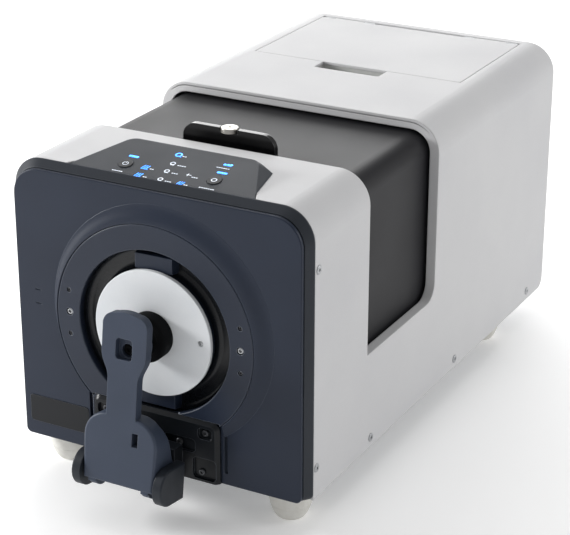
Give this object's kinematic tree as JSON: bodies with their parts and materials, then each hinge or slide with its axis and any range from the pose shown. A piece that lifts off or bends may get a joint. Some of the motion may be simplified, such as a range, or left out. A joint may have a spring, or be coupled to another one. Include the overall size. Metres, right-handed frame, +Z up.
{
  "type": "benchtop colorimeter",
  "caption": "Benchtop sphere instrument that measures colour at a round front port, with a hinged sample arm, a sliding chamber cover and a rear lid.",
  "frame": {"origin": "on the bench, under the middle of the whole instrument with its sample arm closed", "axes": "+X to the right seen from the front, +Y from the port to the back, +Z up"},
  "size_m": [0.273, 0.5632, 0.283],
  "materials": {
    "shell_paint": "fine satin off-white paint",
    "panel_paint": "matt blue-grey paint with a fine texture",
    "bezel_paint": "matt dark grey moulding",
    "cover_paint": "fine matt charcoal paint",
    "knob_metal": "turned and polished",
    "mask_white": "matt white",
    "screw_steel": "plain steel",
    "screw_black": "blackened steel",
    "arm_paint": "matt blue-grey paint",
    "cap_plastic": "matt dark grey moulding",
    "mount_paint": "cast and painted matt blue-grey",
    "pad_rubber": "soft black rubber",
    "foot_rubber": "off-white rubber",
    "button_plastic": "smooth dark plastic",
    "light_blue": "lit blue light pipe",
    "nameplate": "bare black plate",
    "base_steel": "zinc plated sheet",
    "rear_paint": "matt dark grey paint",
    "chamber_black": "matt black paint",
    "rail_plastic": "slippery dark plastic",
    "sphere_metal": "machined outside, matt white coating inside",
    "lamp_glass": "clear lamp envelope",
    "lens_glass": "polished lens",
    "grating_mirror": "ruled mirror coating",
    "board_green": "green solder mask",
    "supply_metal": "folded sheet",
    "capacitor_sleeve": "shrunk plastic sleeve",
    "inlet_plastic": "black moulding",
    "port_metal": "plated shell",
    "tray_plastic": "dark grey moulding",
    "tile_ceramic": "white reference tile"
  },
  "bodies": {
    "housing": {"outer_shell": "shell_paint", "front_panel": "panel_paint", "port_ring": "panel_paint", "mask_latches": "panel_paint", "front_bezel": "bezel_paint", "control_panel": "bezel_paint", "case_screws": "screw_steel", "foot_screws": "screw_steel", "lid_hinge_pins": "screw_steel", "lid_hinge_leaf": "screw_steel", "port_ring_screws": "screw_black", "arm_mount_screws": "screw_black", "arm_mount": "mount_paint", "foot_front_left": "foot_rubber", "foot_rear_left": "foot_rubber", "foot_front_right": "foot_rubber", "foot_rear_right": "foot_rubber", "status_lights": "light_blue", "nameplate_blank": "nameplate", "base_plate": "base_steel", "optics_bracket": "base_steel", "sphere_cradle": "base_steel", "rear_panel": "rear_paint", "chamber_cowl": "chamber_black", "chamber_tray": "chamber_black", "cover_rail_left": "rail_plastic", "cover_rail_right": "rail_plastic", "sphere_front_half": "sphere_metal", "sphere_rear_half": "sphere_metal", "lamp_housing": "sphere_metal", "lens_barrel": "sphere_metal", "spectrometer_housing": "sphere_metal", "spectrometer_cover": "sphere_metal", "flash_lamp": "lamp_glass", "objective_lens": "lens_glass", "concave_grating": "grating_mirror", "main_board": "board_green", "sensor_board": "board_green", "power_supply": "supply_metal", "flash_capacitor": "capacitor_sleeve", "power_inlet": "inlet_plastic", "power_switch_frame": "inlet_plastic", "data_ports": "port_metal", "accessory_tray": "tray_plastic", "calibration_tile": "tile_ceramic"},
    "arm": {"sample_arm": "arm_paint", "arm_cap_left": "cap_plastic", "arm_cap_right": "cap_plastic", "arm_hinge_pin": "screw_steel"},
    "pad": {"sample_pad": "pad_rubber"},
    "mask": {"target_mask": "mask_white", "mask_screws": "screw_steel"},
    "cover": {"chamber_cover": "cover_paint", "cover_handle": "cover_paint"},
    "knob": {"cover_knob": "knob_metal"},
    "lid": {"rear_lid": "shell_paint"},
    "button_left": {"power_button": "button_plastic"},
    "button_right": {"measure_button": "button_plastic"},
    "rocker": {"power_rocker": "inlet_plastic"},
    "plug": {"trap_plug": "sphere_metal"}
  },
  "joints": [
    {"name": "arm_swing", "type": "hinge", "parent": "housing", "child": "arm", "pos_m": [0, -0.2664, 0.044], "axis": [1, 0, 0], "range_deg": [0, 95], "stiffness_Nm_per_rad": 0.25, "springref_deg": -34.38},
    {"name": "pad_press", "type": "slide", "parent": "arm", "child": "pad", "axis": [0, -1, 0], "range_m": [0, 0.005], "stiffness_N_per_m": 400, "springref_m": -0.002},
    {"name": "mask_twist", "type": "hinge", "parent": "housing", "child": "mask", "pos_m": [0, -0.2184, 0.149], "axis": [0, 1, 0], "range_deg": [0, 20]},
    {"name": "cover_slide", "type": "slide", "parent": "housing", "child": "cover", "axis": [0, 1, 0], "range_m": [0, 0.111]},
    {"name": "knob_turn", "type": "hinge", "parent": "cover", "child": "knob", "pos_m": [0, -0.0981, 0.279], "axis": [0, 0, 1], "range_deg": [0, 90]},
    {"name": "lid_swing", "type": "hinge", "parent": "housing", "child": "lid", "pos_m": [0, 0.2702, 0.2719], "axis": [-1, 0, 0], "range_deg": [0, 95]},
    {"name": "power_press", "type": "slide", "parent": "housing", "child": "button_left", "axis": [0, 0.184, -0.9829], "range_m": [0, 0.001], "stiffness_N_per_m": 900, "springref_m": -0.0005},
    {"name": "measure_press", "type": "slide", "parent": "housing", "child": "button_right", "axis": [0, 0.184, -0.9829], "range_m": [0, 0.001], "stiffness_N_per_m": 900, "springref_m": -0.0005},
    {"name": "rocker_tilt", "type": "hinge", "parent": "housing", "child": "rocker", "pos_m": [-0.084, 0.2706, 0.112], "axis": [1, 0, 0], "range_deg": [-8, 8]},
    {"name": "plug_pull", "type": "slide", "parent": "housing", "child": "plug", "axis": [0, 0.848, 0.5299], "range_m": [0, 0.006]}
  ]
}
